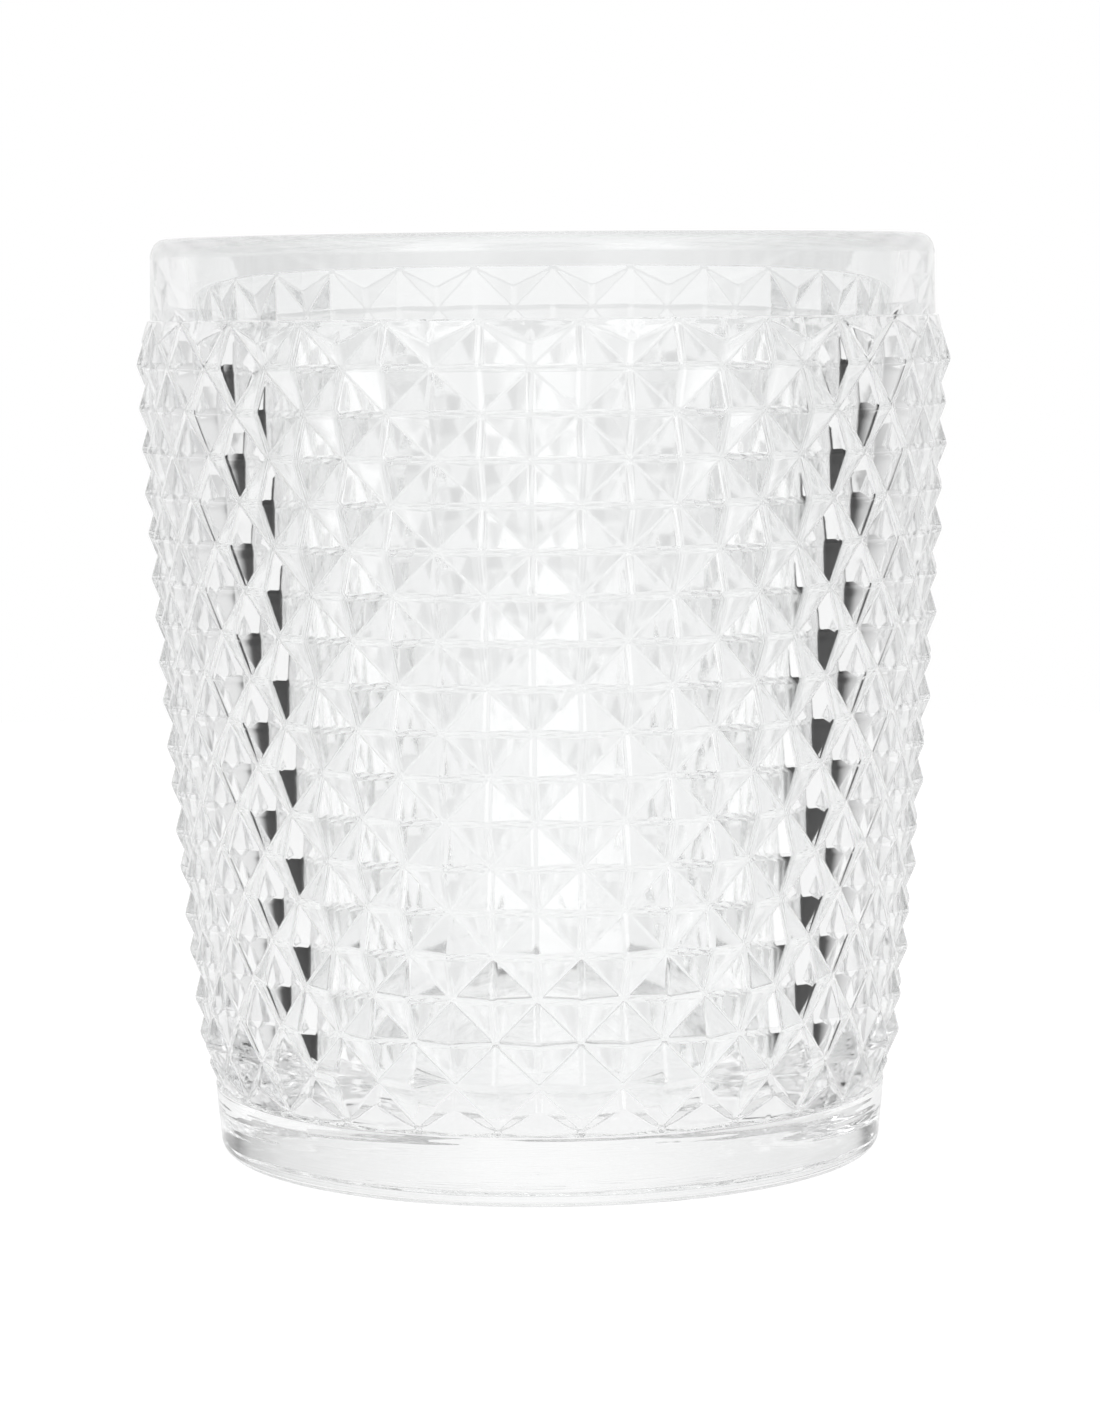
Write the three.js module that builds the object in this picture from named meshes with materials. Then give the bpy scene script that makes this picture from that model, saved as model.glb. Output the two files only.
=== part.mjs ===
// A pressed-glass whiskey tumbler. It is one piece of clear glass: a thick foot, a wall covered
// in a relief of diamond points, and a plain band at the rim and at the foot.
// Millimetres, +Z up. The origin is the centre of the foot, on the surface the glass stands on.
import * as THREE from "three";

const HEIGHT = 100;

// Diamond-point relief. Every row is half a diamond round from the row above it, so a column
// of the relief has a point in every other row and a groove crossing in the rows between.
const DIAMONDS_PER_TURN = 27;
const COLUMNS = 2 * DIAMONDS_PER_TURN;
const FIRST_COLUMN_ANGLE = THREE.MathUtils.degToRad(-1.7); // round from the front, -Y
const WHOLE_ROWS = 17;
const ROW_PITCH = 4.6;
const TOP_ROW_Z = 86.5;
const RELIEF = 1.6; // a point stands out this far from the bottom of the grooves

// A chamfer at each end of the relief cuts one more row of diamonds down to this share of
// their height, and runs out a little way past the groove crossings of that row.
const TOP_CREST = 0.52;
const FOOT_CREST = 0.55;
const TOP_RUN_OUT = 0.12;
const FOOT_RUN_OUT = 0.25;

// Outer wall. Where it has the relief it is measured at the bottom of the grooves.
const TOP_WALL_RADIUS = 43.05;
const FOOT_WALL_RADIUS = 36.6;
const BELLY = 0.8; // the wall bows out this far half-way up
const RIM_BAND_RADIUS = 42.7;
const FOOT_BAND_RADIUS = 36.9;
const BAND_EDGE = 0.4; // height of the step between the relief and either band
const LIP_ROUND = 1.55; // the lip's edges are parts of an ellipse this far across from its middle
const LIP_RISE = 2.1; // and this far up
const LIP_DRAFT = 0.1; // the rim band leans in by this much towards the lip

// Foot: a flat ring round a shallow recess
const FOOT_DRAFT = 0.5; // the foot band leans in by this much towards the ring
const FOOT_ROUND = 1.8;
const FOOT_RING_INNER_RADIUS = 28;
const RECESS_SLOPE = 1.6; // width of the slope between the ring and the recess
const RECESS_DEPTH = 0.8;

// Cavity: a wider cone inside the rim, a steeper one below it, and a rounded corner above a
// slightly dished floor
const MOUTH_RADIUS = 39.54; // where the rim's cone would meet the height of the lip
const RIM_WEDGE = THREE.MathUtils.degToRad(7);
const RIM_WEDGE_DEPTH = 20;
const CAVITY_DRAFT = THREE.MathUtils.degToRad(4.5);
const FLOOR_Z = 7;
const FLOOR_CORNER = 9;
const FLOOR_DISH = 0.6; // the middle of the floor is this much lower

const ARC_STEPS = 4; // straight pieces that stand for each rounded edge

const rowZ = (row) => TOP_ROW_Z - row * ROW_PITCH;
const TOP_CUT_ROW = -1;
const FOOT_CUT_ROW = WHOLE_ROWS;
const RELIEF_TOP_Z = rowZ(TOP_CUT_ROW) + TOP_RUN_OUT;
const RELIEF_FOOT_Z = rowZ(FOOT_CUT_ROW) - FOOT_RUN_OUT;

// Radius of the relieved wall at the bottom of its grooves.
function wallRadius(z) {
  const share = (z - RELIEF_FOOT_Z) / (RELIEF_TOP_Z - RELIEF_FOOT_Z);
  const straight = THREE.MathUtils.lerp(FOOT_WALL_RADIUS, TOP_WALL_RADIUS, share);
  return straight + 4 * BELLY * share * (1 - share);
}

// The outline's points are (radius, height). This part runs from the axis under the foot,
// out over the foot ring and up its band.
function footOutline() {
  const path = new THREE.Path();
  path.moveTo(0, RECESS_DEPTH);
  path.lineTo(FOOT_RING_INNER_RADIUS - RECESS_SLOPE, RECESS_DEPTH);
  path.lineTo(FOOT_RING_INNER_RADIUS, 0);
  const corner = FOOT_BAND_RADIUS - FOOT_DRAFT - FOOT_ROUND;
  path.absarc(corner, FOOT_ROUND, FOOT_ROUND, -Math.PI / 2, 0, false);
  path.lineTo(FOOT_BAND_RADIUS, RELIEF_FOOT_Z - BAND_EDGE);
  return path.getPoints(ARC_STEPS / 2);
}

// Radius of the cavity at this height, without its rounded edges.
function cavityRadius(z) {
  const depth = HEIGHT - z;
  const inRim = Math.min(depth, RIM_WEDGE_DEPTH);
  return MOUTH_RADIUS - inRim * Math.tan(RIM_WEDGE) - (depth - inRim) * Math.tan(CAVITY_DRAFT);
}

// From the foot of the rim band over the lip, down the cavity and in to the axis.
function rimAndCavityOutline() {
  const path = new THREE.Path();
  path.moveTo(RIM_BAND_RADIUS, RELIEF_TOP_Z + BAND_EDGE);
  const lipZ = HEIGHT - LIP_RISE;
  const outer = RIM_BAND_RADIUS - LIP_DRAFT - LIP_ROUND;
  path.absellipse(outer, lipZ, LIP_ROUND, LIP_RISE, 0, Math.PI / 2, false);
  // The inner edge runs into the cavity's cone without a bend.
  const rimSlope = Math.tan(RIM_WEDGE);
  const inner = cavityRadius(lipZ) + Math.hypot(LIP_ROUND, LIP_RISE * rimSlope);
  const meeting = Math.atan((LIP_RISE / LIP_ROUND) * rimSlope);
  path.absellipse(inner, lipZ, LIP_ROUND, LIP_RISE, Math.PI / 2, Math.PI - meeting, false);
  const bendZ = HEIGHT - RIM_WEDGE_DEPTH;
  path.lineTo(cavityRadius(bendZ), bendZ);
  const cornerZ = FLOOR_Z + FLOOR_CORNER;
  const corner = cavityRadius(cornerZ) - FLOOR_CORNER / Math.cos(CAVITY_DRAFT);
  path.absarc(corner, cornerZ, FLOOR_CORNER, -CAVITY_DRAFT, -Math.PI / 2, true);
  path.quadraticCurveTo(corner / 2, FLOOR_Z - FLOOR_DISH, 0, FLOOR_Z - FLOOR_DISH);
  return path.getPoints(ARC_STEPS / 2);
}

// The relief's rings, from the foot up. Beyond each cut row lies the line where its chamfer
// runs out. A crest is the share of a whole point's height that is left standing, and it lies
// that much nearer to the whole rows.
function reliefRings() {
  const rings = [{ row: FOOT_CUT_ROW + 1, z: RELIEF_FOOT_Z, crest: 0, crestZ: RELIEF_FOOT_Z }];
  for (let row = FOOT_CUT_ROW; row >= TOP_CUT_ROW; row--) {
    const ring = { row, z: rowZ(row), crest: 1, crestZ: rowZ(row) };
    if (row === FOOT_CUT_ROW) ring.crest = FOOT_CREST;
    if (row === TOP_CUT_ROW) ring.crest = TOP_CREST;
    const inwards = row === FOOT_CUT_ROW ? ROW_PITCH : -ROW_PITCH;
    ring.crestZ += inwards * (1 - ring.crest);
    rings.push(ring);
  }
  rings.push({ row: TOP_CUT_ROW - 1, z: RELIEF_TOP_Z, crest: 0, crestZ: RELIEF_TOP_Z });
  return rings;
}

// Grooves cross where column and row add up to an even number. Points stand at the others.
const isCrossing = (column, row) => (column + row) % 2 === 0;

function tumblerGeometry() {
  const foot = footOutline();
  const rings = reliefRings();
  const relief = rings.map(({ z }) => new THREE.Vector2(wallRadius(z), z));
  const outline = [...foot, ...relief, ...rimAndCavityOutline()];
  const geometry = new THREE.LatheGeometry(outline, COLUMNS, FIRST_COLUMN_ANGLE);
  const position = geometry.getAttribute("position");
  const index = geometry.getIndex();

  for (let column = 0; column <= COLUMNS; column++) {
    const angle = FIRST_COLUMN_ANGLE + (column / COLUMNS) * 2 * Math.PI;
    const turned = column % COLUMNS;
    rings.forEach(({ row, crest, crestZ }, step) => {
      const vertex = column * outline.length + foot.length + step;
      const crossing = isCrossing(turned, row);
      if (!crossing) {
        const radius = wallRadius(crestZ) + crest * RELIEF;
        position.setXYZ(vertex, radius * Math.sin(angle), crestZ, radius * Math.cos(angle));
      }
      // The lathe cuts each of its quads from the next column's vertex to the one above this
      // one. Where this vertex is a crossing, the groove runs the other way.
      if (crossing && column < COLUMNS && step < rings.length - 1) {
        const next = vertex + outline.length;
        const quad = 6 * (column * (outline.length - 1) + foot.length + step);
        [vertex, next, next + 1, vertex, next + 1, vertex + 1].forEach((corner, i) =>
          index.setX(quad + i, corner),
        );
      }
    });
  }
  geometry.rotateX(Math.PI / 2);
  geometry.computeVertexNormals();
  return geometry;
}

const clearGlass = new THREE.MeshStandardMaterial({
  color: 0xf4f7f7,
  roughness: 0.04,
  metalness: 0,
  transparent: true,
  opacity: 0.35,
  flatShading: true,
});

const tumblerGlass = new THREE.Mesh(tumblerGeometry(), clearGlass);
tumblerGlass.name = "tumbler_glass";

const whiskeyTumbler = new THREE.Group();
whiskeyTumbler.add(tumblerGlass);

export default whiskeyTumbler;
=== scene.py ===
# A pressed-glass whiskey tumbler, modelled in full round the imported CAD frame: fire-polished
# diamond relief, plain rim and foot bands, lip, cavity and foot recess. Metres, +Z up.
import bmesh
import bpy
import numpy as np
from math import atan, cos, hypot, pi, radians, sin, tan
from mathutils import Matrix, Vector


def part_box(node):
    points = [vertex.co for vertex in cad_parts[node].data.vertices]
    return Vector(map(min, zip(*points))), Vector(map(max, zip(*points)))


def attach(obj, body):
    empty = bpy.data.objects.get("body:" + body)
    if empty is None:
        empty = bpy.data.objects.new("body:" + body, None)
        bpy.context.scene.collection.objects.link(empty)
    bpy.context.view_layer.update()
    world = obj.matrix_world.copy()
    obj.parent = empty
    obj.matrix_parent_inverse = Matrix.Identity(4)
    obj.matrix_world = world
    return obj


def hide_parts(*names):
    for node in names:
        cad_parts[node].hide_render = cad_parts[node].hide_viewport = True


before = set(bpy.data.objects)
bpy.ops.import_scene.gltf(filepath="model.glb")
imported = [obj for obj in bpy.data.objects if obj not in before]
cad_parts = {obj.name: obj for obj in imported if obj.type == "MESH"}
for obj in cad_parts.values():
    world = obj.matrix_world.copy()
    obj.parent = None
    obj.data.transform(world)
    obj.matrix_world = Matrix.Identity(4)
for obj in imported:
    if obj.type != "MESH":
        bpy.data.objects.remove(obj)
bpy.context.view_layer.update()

MM = 0.001
GLASS_NODE = "tumbler_glass"
low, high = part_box(GLASS_NODE)
FOOT_Z = low.z
HEIGHT = high.z - low.z
TOP_Z = FOOT_Z + HEIGHT

# ---------------------------------------------------------------- the glass's sizes
# Diamond relief: column and row count half diamonds round the glass and rows down it. A point
# stands where they add up to an odd number, and grooves cross where they add up to an even one.
DIAMONDS_PER_TURN = 27
COLUMNS = 2 * DIAMONDS_PER_TURN
FIRST_COLUMN = radians(-1.7)  # round from the front, -Y
WHOLE_ROWS = 17
ROW_PITCH = 4.6 * MM
TOP_ROW_Z = FOOT_Z + 86.5 * MM
RELIEF = 1.6 * MM  # a point stands out this far from the bottom of the grooves

# A chamfer at each end of the relief cuts one more row of diamonds down to this share of
# their height, and runs out a little way past the groove crossings of that row.
TOP_CREST = 0.52
FOOT_CREST = 0.55
TOP_RUN_OUT = 0.12 * MM
FOOT_RUN_OUT = 0.25 * MM
SCALLOP = 0.25 * MM  # the relief's lower edge hangs down this far under each point

# Fire-polished edges, in columns or rows from the edge
RIDGE_ROUND = 0.11
GROOVE_ROUND = 0.06
SEAM_COLUMNS = (-2, 16, 34)  # the mould opens in three parts
SEAM_HEIGHT = 0.06 * MM

# Outer wall. Where it has the relief it is measured at the bottom of the grooves.
TOP_WALL_RADIUS = 43.05 * MM
FOOT_WALL_RADIUS = 36.6 * MM
BELLY = 0.8 * MM  # the wall bows out this far half-way up
RIM_BAND_RADIUS = 42.7 * MM
FOOT_BAND_RADIUS = 36.9 * MM
RIM_EDGE = 0.15 * MM  # height of the step between the relief and the rim band
BAND_EDGE = 0.4 * MM  # and between the relief and the foot band
LIP_ROUND = 1.55 * MM  # the lip's edges are parts of an ellipse this far across from its middle
LIP_RISE = 2.1 * MM  # and this far up
LIP_DRAFT = 0.1 * MM  # the rim band leans in by this much towards the lip

# Foot: a flat ring round a shallow recess
FOOT_DRAFT = 0.5 * MM  # the foot band leans in by this much towards the ring
FOOT_ROUND = 1.8 * MM
FOOT_RING_INNER_RADIUS = 28 * MM
RECESS_SLOPE = 1.6 * MM  # width of the slope between the ring and the recess
RECESS_DEPTH = 0.8 * MM

# Cavity: a wider cone inside the rim, a steeper one below it, and a rounded corner above a
# slightly dished floor
MOUTH_RADIUS = 39.54 * MM  # where the rim's cone would meet the height of the lip
RIM_WEDGE = radians(7)
RIM_WEDGE_DEPTH = 20 * MM
CAVITY_DRAFT = radians(4.5)
FLOOR_Z = FOOT_Z + 7 * MM
FLOOR_CORNER = 9 * MM
FLOOR_DISH = 0.6 * MM  # the middle of the floor is this much lower

# Mesh
LATHE_SIDES = 10 * COLUMNS
ROUND_STEPS = 14  # straight pieces that stand for the lip's edges and the floor's corner
FOOT_ROUND_STEPS = 10
SLOPE_STEPS = 6
DISH_STEPS = 5
PLACES_PER_COLUMN = 100000  # corners of the relief closer than one of these are one vertex
SHARP = radians(30)  # edges that turn further than this are shaded sharp
FACE_AREA_WEIGHT = 90


# ---------------------------------------------------------------- relief
def row_z(row):
    return TOP_ROW_Z - row * ROW_PITCH


# Rows where the relief ends, how many rows each chamfer covers, and how fast it rises
TOP_EDGE_ROW = -1 - TOP_RUN_OUT / ROW_PITCH
FOOT_EDGE_ROW = WHOLE_ROWS + FOOT_RUN_OUT / ROW_PITCH
TOP_CHAMFER_ROWS = -TOP_CREST - TOP_EDGE_ROW
FOOT_CHAMFER_ROWS = FOOT_EDGE_ROW - WHOLE_ROWS + 1 - FOOT_CREST
TOP_CHAMFER_SLOPE = TOP_CREST / TOP_CHAMFER_ROWS
FOOT_CHAMFER_SLOPE = FOOT_CREST / FOOT_CHAMFER_ROWS
RELIEF_TOP_Z = row_z(TOP_EDGE_ROW)
RELIEF_FOOT_Z = row_z(FOOT_EDGE_ROW)

# The highest and lowest cells of the lattice, named by their upper row. The relief ends
# inside them.
TOP_CELLS = -2
FOOT_CELLS = WHOLE_ROWS


def wall_radius(z):
    """Radius of the relieved wall at the bottom of its grooves."""
    share = (z - RELIEF_FOOT_Z) / (RELIEF_TOP_Z - RELIEF_FOOT_Z)
    straight = FOOT_WALL_RADIUS + (TOP_WALL_RADIUS - FOOT_WALL_RADIUS) * share
    return straight + 4 * BELLY * share * (1 - share)


def from_even(x):
    """How far x lies from the nearest even number."""
    return np.abs((x + 1) % 2 - 1)


def saw(x, soft):
    """0 at even numbers and 1 at odd ones, straight between them, with the turns rounded."""
    distance = from_even(x)
    valley = (distance / soft) ** 2 * soft / 2 + soft / 2
    near_even = np.where(distance < soft, valley, distance)
    other = 1 - distance
    crest = 1 - (other / soft) ** 2 * soft / 2 - soft / 2
    return np.where(other < soft, crest, near_even)


def soft_minimum(a, b, soft):
    closeness = np.clip(1 - np.abs(a - b) / soft, 0, 1)
    return np.minimum(a, b) - closeness**2 * soft / 4


def relief_height(column, row):
    """Height of the relief over the bottom of its grooves, as a share of a whole point."""
    one_way, other_way = saw(column + row, GROOVE_ROUND), saw(column - row, GROOVE_ROUND)
    points = soft_minimum(one_way, other_way, 2 * RIDGE_ROUND)
    top = TOP_CHAMFER_SLOPE * (row - TOP_EDGE_ROW)
    foot = FOOT_CHAMFER_SLOPE * (FOOT_EDGE_ROW - row)
    points = soft_minimum(points, top, RIDGE_ROUND)
    return np.maximum(soft_minimum(points, foot, RIDGE_ROUND), 0)


def scallop(column, row):
    """How far the foot chamfer is lowered: most at its edge, and only under the points."""
    chamfer = np.clip((row - WHOLE_ROWS + 1 - FOOT_CREST) / FOOT_CHAMFER_ROWS, 0, 1)
    from_crossing = from_even(column + WHOLE_ROWS)
    return SCALLOP * chamfer * (1 - (1 - from_crossing) ** 2)


def cut(polygons, a, b, d):
    """Cuts flat convex polygons along the line where a*column + b*row is d."""
    on_line = 1e-9
    made = []
    for polygon in polygons:
        values = [a * x + b * y - d for x, y in polygon]
        if min(values) > -on_line or max(values) < on_line:
            made.append(polygon)
            continue
        over, under = [], []
        for i, (p, value) in enumerate(zip(polygon, values)):
            q, other = polygon[(i + 1) % len(polygon)], values[(i + 1) % len(polygon)]
            if value >= -on_line:
                over.append(p)
            if value <= on_line:
                under.append(p)
            if min(value, other) < -on_line and max(value, other) > on_line:
                share = value / (value - other)
                crossing = (p[0] + (q[0] - p[0]) * share, p[1] + (q[1] - p[1]) * share)
                over.append(crossing)
                under.append(crossing)
        made += [over, under]
    return made


def cell_polygons(column, row):
    """One cell of the lattice, cut along its ridges, its groove and their rounded edges."""
    polygons = [[(column, row), (column + 1, row), (column + 1, row + 1), (column, row + 1)]]
    for soft in (RIDGE_ROUND / 2, RIDGE_ROUND):
        for a, b, at in ((1, 0, column), (0, 1, row)):
            polygons = cut(polygons, a, b, at + soft)
            polygons = cut(polygons, a, b, at + 1 - soft)
    rising = (column + row) % 2 == 1  # the groove runs up from this cell's foot to its top
    slant, at = (1, column + row + 1) if rising else (-1, column - row)
    for soft in (-GROOVE_ROUND, 0, GROOVE_ROUND):
        polygons = cut(polygons, 1, slant, at + soft)
    return polygons


def chamfer_lines(column, row):
    """The lines, as a, b and d, where this cell's diamonds meet the chamfer that cuts them."""
    lean = 1 if column % 2 == 0 else -1
    near = column if column % 2 == 0 else column + 1
    lines = []
    for soft in (-RIDGE_ROUND, 0, RIDGE_ROUND):
        if row < 0:
            rise = TOP_CHAMFER_SLOPE * TOP_EDGE_ROW - soft
            lines.append((lean, 1 + TOP_CHAMFER_SLOPE, lean * near + rise))
        else:
            rise = FOOT_CHAMFER_SLOPE * FOOT_EDGE_ROW + soft
            lines.append((-lean, 1 + FOOT_CHAMFER_SLOPE, WHOLE_ROWS - 1 - lean * near + rise))
    return lines


def middle_row(polygon):
    return sum(row for column, row in polygon) / len(polygon)


def relief_polygons():
    """The whole relief, as flat convex polygons of (column, row) corners."""
    polygons = []
    for row in range(TOP_CELLS, FOOT_CELLS + 1):
        for column in range(COLUMNS):
            cell = cell_polygons(column, row)
            if row < 0 or row >= WHOLE_ROWS - 1:
                for a, b, d in chamfer_lines(column, row):
                    cell = cut(cell, a, b, d)
            if row == TOP_CELLS:
                cell = [p for p in cut(cell, 0, 1, TOP_EDGE_ROW) if middle_row(p) > TOP_EDGE_ROW]
            if row == FOOT_CELLS:
                cell = [p for p in cut(cell, 0, 1, FOOT_EDGE_ROW) if middle_row(p) < FOOT_EDGE_ROW]
            polygons += cell
    return polygons


class Shell:
    """Vertices and faces of one mesh, gathered ring by ring."""

    def __init__(self):
        self.vertices = []
        self.faces = []

    def add(self, column, radius, z):
        angle = FIRST_COLUMN + column / COLUMNS * 2 * pi
        self.vertices.append((radius * sin(angle), -radius * cos(angle), z))
        return len(self.vertices) - 1

    def join(self, lower, upper):
        """Fills between two rings of (column, vertex), each in order round the glass."""
        same_column = 1e-6
        i = j = 0
        while i < len(lower) or j < len(upper):
            next_lower = lower[i + 1][0] if i + 1 < len(lower) else COLUMNS
            next_upper = upper[j + 1][0] if j + 1 < len(upper) else COLUMNS
            a, b = lower[i % len(lower)][1], upper[j % len(upper)][1]
            step_lower, step_upper = i < len(lower), j < len(upper)
            if step_lower and step_upper and abs(next_lower - next_upper) < same_column:
                i, j = i + 1, j + 1
                self.faces.append((a, lower[i % len(lower)][1], upper[j % len(upper)][1], b))
            elif step_lower and (not step_upper or next_lower < next_upper):
                i += 1
                self.faces.append((a, lower[i % len(lower)][1], b))
            else:
                j += 1
                self.faces.append((a, upper[j % len(upper)][1], b))


def add_relief(shell):
    """Adds the relief and returns its lowest and highest rings."""
    polygons = relief_polygons()
    places = np.array([corner for polygon in polygons for corner in polygon])
    keys = np.round(places * PLACES_PER_COLUMN).astype(np.int64)
    keys[:, 0] %= COLUMNS * PLACES_PER_COLUMN
    unique, vertex_of_corner = np.unique(keys, axis=0, return_inverse=True)
    columns = unique[:, 0] / PLACES_PER_COLUMN
    rows = unique[:, 1] / PLACES_PER_COLUMN
    near = 10 / PLACES_PER_COLUMN

    grooves_z = row_z(rows)
    radii = wall_radius(grooves_z) + RELIEF * relief_height(columns, rows)
    for seam in SEAM_COLUMNS:
        radii += np.where(np.abs((columns - seam) % COLUMNS) < near, SEAM_HEIGHT, 0)
    heights = grooves_z - scallop(columns, rows)
    start = len(shell.vertices)
    for column, radius, z in zip(columns, radii, heights):
        shell.add(column, radius, z)

    corners = iter((start + vertex_of_corner.reshape(-1)).tolist())
    for polygon in polygons:
        face = tuple(dict.fromkeys(next(corners) for corner in polygon))
        if len(face) > 2:
            shell.faces.append(face)

    def ring(edge_row):
        on_edge = np.flatnonzero(np.abs(rows - edge_row) < near)
        return sorted((columns[i], start + int(i)) for i in on_edge)

    return ring(FOOT_EDGE_ROW), ring(TOP_EDGE_ROW)


# ---------------------------------------------------------------- plain surfaces
def arc(centre_radius, centre_z, across, up, start, end, steps):
    """Points (radius, height) along part of an ellipse, angles in radians from outwards."""
    turns = [start + (end - start) * i / steps for i in range(steps + 1)]
    return [(centre_radius + across * cos(t), centre_z + up * sin(t)) for t in turns]


def line(start, end, steps):
    """The points between two others."""
    return [
        (start[0] + (end[0] - start[0]) * i / steps, start[1] + (end[1] - start[1]) * i / steps)
        for i in range(1, steps)
    ]


def foot_outline():
    """From the axis under the foot, over the flat ring and up the foot band."""
    recess_edge = FOOT_RING_INNER_RADIUS - RECESS_SLOPE
    points = [(0, FOOT_Z + RECESS_DEPTH)]
    points += line(points[0], (recess_edge, FOOT_Z + RECESS_DEPTH), steps=3)
    for i in range(SLOPE_STEPS + 1):
        share = i / SLOPE_STEPS
        drop = (1 - cos(pi * share)) / 2
        points.append((recess_edge + RECESS_SLOPE * share, FOOT_Z + RECESS_DEPTH * (1 - drop)))
    corner = FOOT_BAND_RADIUS - FOOT_DRAFT - FOOT_ROUND
    points += line(points[-1], (corner, FOOT_Z), steps=2)
    corner_z = FOOT_Z + FOOT_ROUND
    points += arc(corner, corner_z, FOOT_ROUND, FOOT_ROUND, -pi / 2, 0, FOOT_ROUND_STEPS)
    # Close rings at the top of the band keep the shading of the step above off it.
    band_z = RELIEF_FOOT_Z - BAND_EDGE
    points += line(points[-1], (FOOT_BAND_RADIUS, band_z - BAND_EDGE), steps=3)
    points += [(FOOT_BAND_RADIUS, band_z - BAND_EDGE / 2), (FOOT_BAND_RADIUS, band_z)]
    return points


def cavity_radius(z):
    """Radius of the cavity at this height, without its rounded edges."""
    depth = TOP_Z - z
    in_rim = min(depth, RIM_WEDGE_DEPTH)
    return MOUTH_RADIUS - in_rim * tan(RIM_WEDGE) - (depth - in_rim) * tan(CAVITY_DRAFT)


def rim_and_cavity_outline():
    """From the ledge over the relief, up the rim band, over the lip, down the cavity to the axis."""
    points = [(RIM_BAND_RADIUS, RELIEF_TOP_Z + rise) for rise in (RIM_EDGE, 2 * RIM_EDGE)]
    lip_z = TOP_Z - LIP_RISE
    outer = RIM_BAND_RADIUS - LIP_DRAFT - LIP_ROUND
    points += line(points[-1], (outer + LIP_ROUND, lip_z), steps=3)
    points += arc(outer, lip_z, LIP_ROUND, LIP_RISE, 0, pi / 2, ROUND_STEPS)
    # The inner edge runs into the cavity's cone without a bend.
    rim_slope = tan(RIM_WEDGE)
    inner = cavity_radius(lip_z) + hypot(LIP_ROUND, LIP_RISE * rim_slope)
    meeting = atan(LIP_RISE / LIP_ROUND * rim_slope)
    points += arc(inner, lip_z, LIP_ROUND, LIP_RISE, pi / 2, pi - meeting, ROUND_STEPS)
    bend_z = TOP_Z - RIM_WEDGE_DEPTH
    bend = (cavity_radius(bend_z), bend_z)
    points += line(points[-1], bend, steps=3)
    points.append(bend)
    corner_z = FLOOR_Z + FLOOR_CORNER
    corner = cavity_radius(corner_z) - FLOOR_CORNER / cos(CAVITY_DRAFT)
    turn = (-CAVITY_DRAFT, -pi / 2)
    corner_points = arc(corner, corner_z, FLOOR_CORNER, FLOOR_CORNER, *turn, ROUND_STEPS)
    points += line(points[-1], corner_points[0], steps=5)
    points += corner_points
    for i in range(1, DISH_STEPS):
        share = i / DISH_STEPS
        points.append((corner * (1 - share), FLOOR_Z - FLOOR_DISH * (1 - (1 - share) ** 2)))
    points.append((0, FLOOR_Z - FLOOR_DISH))
    return points


def add_lathe(shell, outline):
    """Adds a surface of revolution that touches the axis at one end, and returns its rings."""
    columns = [round(i * COLUMNS / LATHE_SIDES, 5) for i in range(LATHE_SIDES)]
    rings = []
    for radius, z in outline:
        if radius == 0:
            rings.append([(0, shell.add(0, 0, z))])
        else:
            rings.append([(column, shell.add(column, radius, z)) for column in columns])
    for lower, upper in zip(rings, rings[1:]):
        if len(lower) == 1 or len(upper) == 1:
            tip, ring = (lower, upper) if len(lower) == 1 else (upper, lower)
            for i in range(len(ring)):
                shell.faces.append((tip[0][1], ring[i][1], ring[(i + 1) % len(ring)][1]))
        else:
            shell.join(lower, upper)
    return rings


# ---------------------------------------------------------------- the tumbler
def add_object(name, data):
    made = bpy.data.objects.new(name, data)
    bpy.context.scene.collection.objects.link(made)
    return made


def make_tumbler():
    shell = Shell()
    foot = add_lathe(shell, foot_outline())
    relief_foot, relief_top = add_relief(shell)
    rim = add_lathe(shell, rim_and_cavity_outline())
    shell.join(foot[-1], relief_foot)
    shell.join(relief_top, rim[0])
    mesh = bpy.data.meshes.new("tumbler")
    mesh.from_pydata(shell.vertices, [], shell.faces)
    mesh.validate()
    return add_object("tumbler", mesh)


def face_out_and_smooth(piece):
    made = bmesh.new()
    made.from_mesh(piece.data)
    bmesh.ops.remove_doubles(made, verts=made.verts, dist=1e-4 * MM)
    bmesh.ops.recalc_face_normals(made, faces=made.faces)
    for face in made.faces:
        face.smooth = True
    for edge in made.edges:
        edge.smooth = len(edge.link_faces) != 2 or edge.calc_face_angle() < SHARP
    made.to_mesh(piece.data)
    made.free()
    weighted = piece.modifiers.new("weighted normals", "WEIGHTED_NORMAL")
    weighted.weight = FACE_AREA_WEIGHT
    weighted.keep_sharp = True


tumbler = make_tumbler()
face_out_and_smooth(tumbler)
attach(tumbler, "root")
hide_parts(GLASS_NODE)


# ---------------------------------------------------------------- nodes
def math_nodes(tree):
    """Returns a function that adds a Math node to this tree, from sockets and numbers."""

    def math(operation, *inputs):
        node = tree.nodes.new("ShaderNodeMath")
        node.operation = operation
        for socket, value in zip(node.inputs, inputs):
            if isinstance(value, bpy.types.NodeSocket):
                tree.links.new(value, socket)
            else:
                socket.default_value = value
        return node.outputs[0]

    return math


def camera_ray(tree):
    """1 where the camera sees this straight, 0 where it is reflected or seen through glass."""
    return tree.nodes.new("ShaderNodeLightPath").outputs["Is Camera Ray"]


# ---------------------------------------------------------------- clear glass
GLASS_TINT = (0.985, 0.99, 0.99, 1)
GLASS_INDEX = 1.5
# Roughness of the cavity and the bands, of the relief, and of the lip
POLISHED = 0.02
PRESSED = 0.08
LIP_HAZE = 0.15
PRESSED_FROM = 0.6 * MM  # the pressed relief starts this far inside the bottom of its grooves
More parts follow.
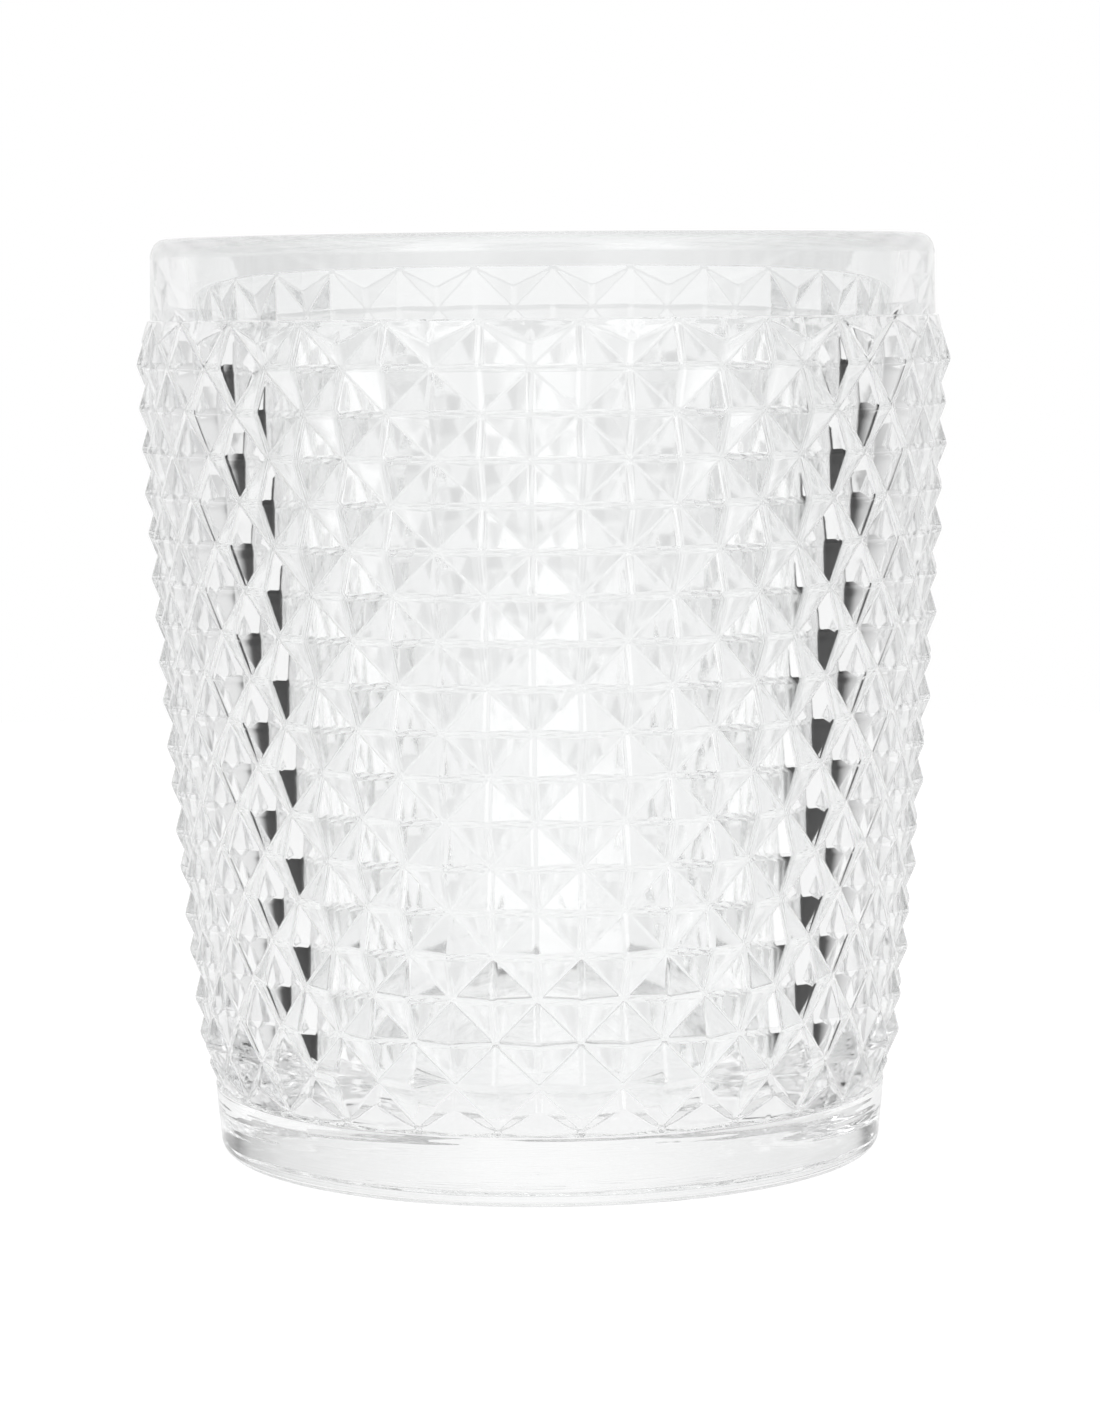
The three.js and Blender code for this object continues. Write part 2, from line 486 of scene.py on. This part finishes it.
# Streaks round the bands: how many round the glass, per radian, and how many across a metre
STREAKS_ROUND = 1.2
STREAKS_ACROSS = 500
RIM_STREAK_HEIGHT = 0.003 * MM
FOOT_STREAK_HEIGHT = 0.08 * MM
# Waves in the glass below the rim band: how many to a metre
WAVES = 240
WAVE_HEIGHT = 0.012 * MM


def clear_glass():
    material = bpy.data.materials.new("clear_glass")
    material.use_nodes = True
    nodes, links = material.node_tree.nodes, material.node_tree.links
    math = math_nodes(material.node_tree)
    shader = nodes["Principled BSDF"]
    shader.inputs["Base Color"].default_value = GLASS_TINT
    shader.inputs["IOR"].default_value = GLASS_INDEX
    shader.inputs["Transmission Weight"].default_value = 1

    object_place = nodes.new("ShaderNodeTexCoord").outputs["Object"]
    place = nodes.new("ShaderNodeSeparateXYZ")
    links.new(object_place, place.inputs[0])
    x, y, z = place.outputs
    radius = math("SQRT", math("ADD", math("MULTIPLY", x, x), math("MULTIPLY", y, y)))
    over_foot = math("GREATER_THAN", z, RELIEF_FOOT_Z)
    under_rim = math("LESS_THAN", z, RELIEF_TOP_Z)

    lean = (TOP_WALL_RADIUS - FOOT_WALL_RADIUS) / (RELIEF_TOP_Z - RELIEF_FOOT_Z)
    wall_at_zero = FOOT_WALL_RADIUS - RELIEF_FOOT_Z * lean - PRESSED_FROM
    outside = math("GREATER_THAN", radius, math("MULTIPLY_ADD", z, lean, wall_at_zero))
    pressed = math("MULTIPLY", outside, math("MULTIPLY", over_foot, under_rim))
    on_lip = math("GREATER_THAN", z, TOP_Z - LIP_RISE)
    roughness = math("MULTIPLY_ADD", pressed, PRESSED - POLISHED, POLISHED)
    roughness = math("MULTIPLY_ADD", on_lip, LIP_HAZE - POLISHED, roughness)
    links.new(roughness, shader.inputs["Roughness"])

    round_the_glass = nodes.new("ShaderNodeCombineXYZ")
    along_x = math("MULTIPLY", math("DIVIDE", x, radius), STREAKS_ROUND)
    along_y = math("MULTIPLY", math("DIVIDE", y, radius), STREAKS_ROUND)
    links.new(along_x, round_the_glass.inputs[0])
    links.new(along_y, round_the_glass.inputs[1])
    links.new(math("MULTIPLY", z, STREAKS_ACROSS), round_the_glass.inputs[2])
    streaks = nodes.new("ShaderNodeTexNoise")
    streaks.noise_dimensions = "4D"
    streaks.inputs["Scale"].default_value = 1
    links.new(round_the_glass.outputs[0], streaks.inputs["Vector"])
    links.new(math("MULTIPLY", radius, STREAKS_ACROSS), streaks.inputs["W"])
    waves = nodes.new("ShaderNodeTexNoise")
    waves.inputs["Scale"].default_value = WAVES
    links.new(object_place, waves.inputs["Vector"])

    on_rim = math("MULTIPLY", math("GREATER_THAN", z, RELIEF_TOP_Z), RIM_STREAK_HEIGHT)
    on_foot = math("MULTIPLY", math("LESS_THAN", z, RELIEF_FOOT_Z), FOOT_STREAK_HEIGHT)
    streaked = math("MULTIPLY", streaks.outputs["Fac"], math("ADD", on_rim, on_foot))
    wave_height = math("MULTIPLY", under_rim, WAVE_HEIGHT)
    height = math("MULTIPLY_ADD", waves.outputs["Fac"], wave_height, streaked)
    bump = nodes.new("ShaderNodeBump")
    bump.inputs["Strength"].default_value = 1
    bump.inputs["Distance"].default_value = 1
    links.new(height, bump.inputs["Height"])
    links.new(bump.outputs["Normal"], shader.inputs["Normal"])
    return material


tumbler.data.materials.append(clear_glass())


# ---------------------------------------------------------------- floor
FLOOR_RADIUS = 0.5
FLOOR_SIDES = 96
FLOOR_GAP = 0.02 * MM  # between the glass and the floor
FLOOR_GREY = 0.12
FLOOR_ROUGHNESS = 0.8
FLOOR_GLOW = 0.9  # pure white when seen straight, and this bright through the glass


def floor_material():
    material = bpy.data.materials.new("pale_floor")
    material.use_nodes = True
    tree = material.node_tree
    shader = tree.nodes["Principled BSDF"]
    shader.inputs["Base Color"].default_value = (FLOOR_GREY, FLOOR_GREY, FLOOR_GREY, 1)
    shader.inputs["Roughness"].default_value = FLOOR_ROUGHNESS
    shader.inputs["Specular IOR Level"].default_value = 0
    shader.inputs["Emission Color"].default_value = (1, 1, 1, 1)
    glow = math_nodes(tree)("MAXIMUM", camera_ray(tree), FLOOR_GLOW)
    tree.links.new(glow, shader.inputs["Emission Strength"])
    return material


def make_floor():
    turns = [2 * pi * i / FLOOR_SIDES for i in range(FLOOR_SIDES)]
    ring = [(FLOOR_RADIUS * cos(t), FLOOR_RADIUS * sin(t), 0) for t in turns]
    mesh = bpy.data.meshes.new("floor")
    mesh.from_pydata(ring, [], [tuple(range(FLOOR_SIDES))])
    mesh.materials.append(floor_material())
    floor = add_object("floor", mesh)
    floor.location.z = FOOT_Z - FLOOR_GAP


# ---------------------------------------------------------------- studio light
BACKDROP = 0.98
# Brightness round the studio, as degrees from straight behind the glass and share of the
# backdrop: a dim front, a dark flag at each side, and the lit backdrop
FRONT = 0.65
FLAG = 0.02
LEFT_FLAG = -64
LEFT_LIGHT = -58
RIGHT_LIGHT = 54
RIGHT_FLAG = 62
ROUND = (
    (-180, FRONT), (-122, FRONT), (-108, FLAG), (LEFT_FLAG, FLAG), (LEFT_LIGHT, 0.7), (-54, 0.8),
    (-40, 0.83), (-22, 0.88), (-12, 0.95), (-2, 1), (6, 1), (14, 0.94), (26, 0.87), (40, 0.77),
    (RIGHT_LIGHT, 0.55), (RIGHT_FLAG, FLAG), (108, FLAG), (122, FRONT), (180, FRONT),
)
# Brightness up the studio, as degrees over the horizon and share
UP = ((-90, 0.87), (-4, 0.87), (2, 1), (12, 1), (24, 0.9), (90, 0.82))
# Soft boxes in front, for the lights along the ridges
KEY = 2.4
KEY_ROUND = (
    (-180, 0), (-166, 0), (-160, 1), (-140, 1), (-134, 0),
    (134, 0), (140, 1), (160, 1), (166, 0), (180, 0),
)
KEY_UP = ((-90, 0), (8, 0), (14, 1), (38, 1), (46, 0), (90, 0))


def make_world():
    world = bpy.data.worlds.new("studio")
    bpy.context.scene.world = world
    world.use_nodes = True
    tree = world.node_tree
    math = math_nodes(tree)

    def ramp(degrees, reach, stops):
        """Share at this many degrees, where the stops run from -reach to reach."""
        node = tree.nodes.new("ShaderNodeValToRGB")
        tree.links.new(math("ADD", math("DIVIDE", degrees, 2 * reach), 0.5), node.inputs["Fac"])
        elements = node.color_ramp.elements
        while len(elements) < len(stops):
            elements.new(1)
        for element, (at, share) in zip(elements, stops):
            element.position = at / (2 * reach) + 0.5
            element.color = (share, share, share, 1)
        return node.outputs["Color"]

    direction = tree.nodes.new("ShaderNodeSeparateXYZ")
    tree.links.new(tree.nodes.new("ShaderNodeTexCoord").outputs["Generated"], direction.inputs[0])
    x, y, z = direction.outputs
    turn = math("MULTIPLY", math("ARCTAN2", x, y), 180 / pi)
    lift = math("MULTIPLY", math("ARCSINE", z), 180 / pi)

    def light(round_stops, up_stops, brightness):
        share = math("MULTIPLY", ramp(turn, 180, round_stops), ramp(lift, 90, up_stops))
        return math("MULTIPLY", share, brightness)

    studio = math("ADD", light(ROUND, UP, BACKDROP), light(KEY_ROUND, KEY_UP, KEY))
    background = tree.nodes["Background"]
    background.inputs["Color"].default_value = (1, 1, 1, 1)
    tree.links.new(math("MAXIMUM", studio, camera_ray(tree)), background.inputs["Strength"])


# ---------------------------------------------------------------- camera
CAMERA_DISTANCE = 475.3 * MM
CAMERA_HEIGHT = FOOT_Z + 93.58 * MM
CAMERA_SIDE = 0.39 * MM
CAMERA_DOWN = 0.0954  # radians
CAMERA_ROLL = -0.0091
CAMERA_LENS = 109.8  # in millimetres, on a sensor this wide
CAMERA_SENSOR = 36
CAMERA_NEAREST = 0.01


def make_camera():
    camera = add_object("camera", bpy.data.cameras.new("camera"))
    camera.data.sensor_width = CAMERA_SENSOR
    camera.data.lens = CAMERA_LENS
    camera.data.clip_start = CAMERA_NEAREST
    forward = Vector((0, cos(CAMERA_DOWN), -sin(CAMERA_DOWN)))
    up = Vector((0, sin(CAMERA_DOWN), cos(CAMERA_DOWN)))
    right = Vector((1, 0, 0))
    rolled_right = right * cos(CAMERA_ROLL) + up * sin(CAMERA_ROLL)
    rolled_up = up * cos(CAMERA_ROLL) - right * sin(CAMERA_ROLL)
    turned = Matrix((rolled_right, rolled_up, -forward)).transposed()
    place = Matrix.Translation((CAMERA_SIDE, -CAMERA_DISTANCE, CAMERA_HEIGHT))
    camera.matrix_world = place @ turned.to_4x4()
    bpy.context.scene.camera = camera


make_floor()
make_world()
make_camera()

# Light goes through many facets before it leaves the glass.
THROUGH_GLASS = 48
REFLECTED = 24
TRANSPARENT = 16
scene = bpy.context.scene
scene.view_settings.view_transform = "Standard"
scene.cycles.max_bounces = THROUGH_GLASS
scene.cycles.transmission_bounces = THROUGH_GLASS
scene.cycles.glossy_bounces = REFLECTED
scene.cycles.transparent_max_bounces = TRANSPARENT
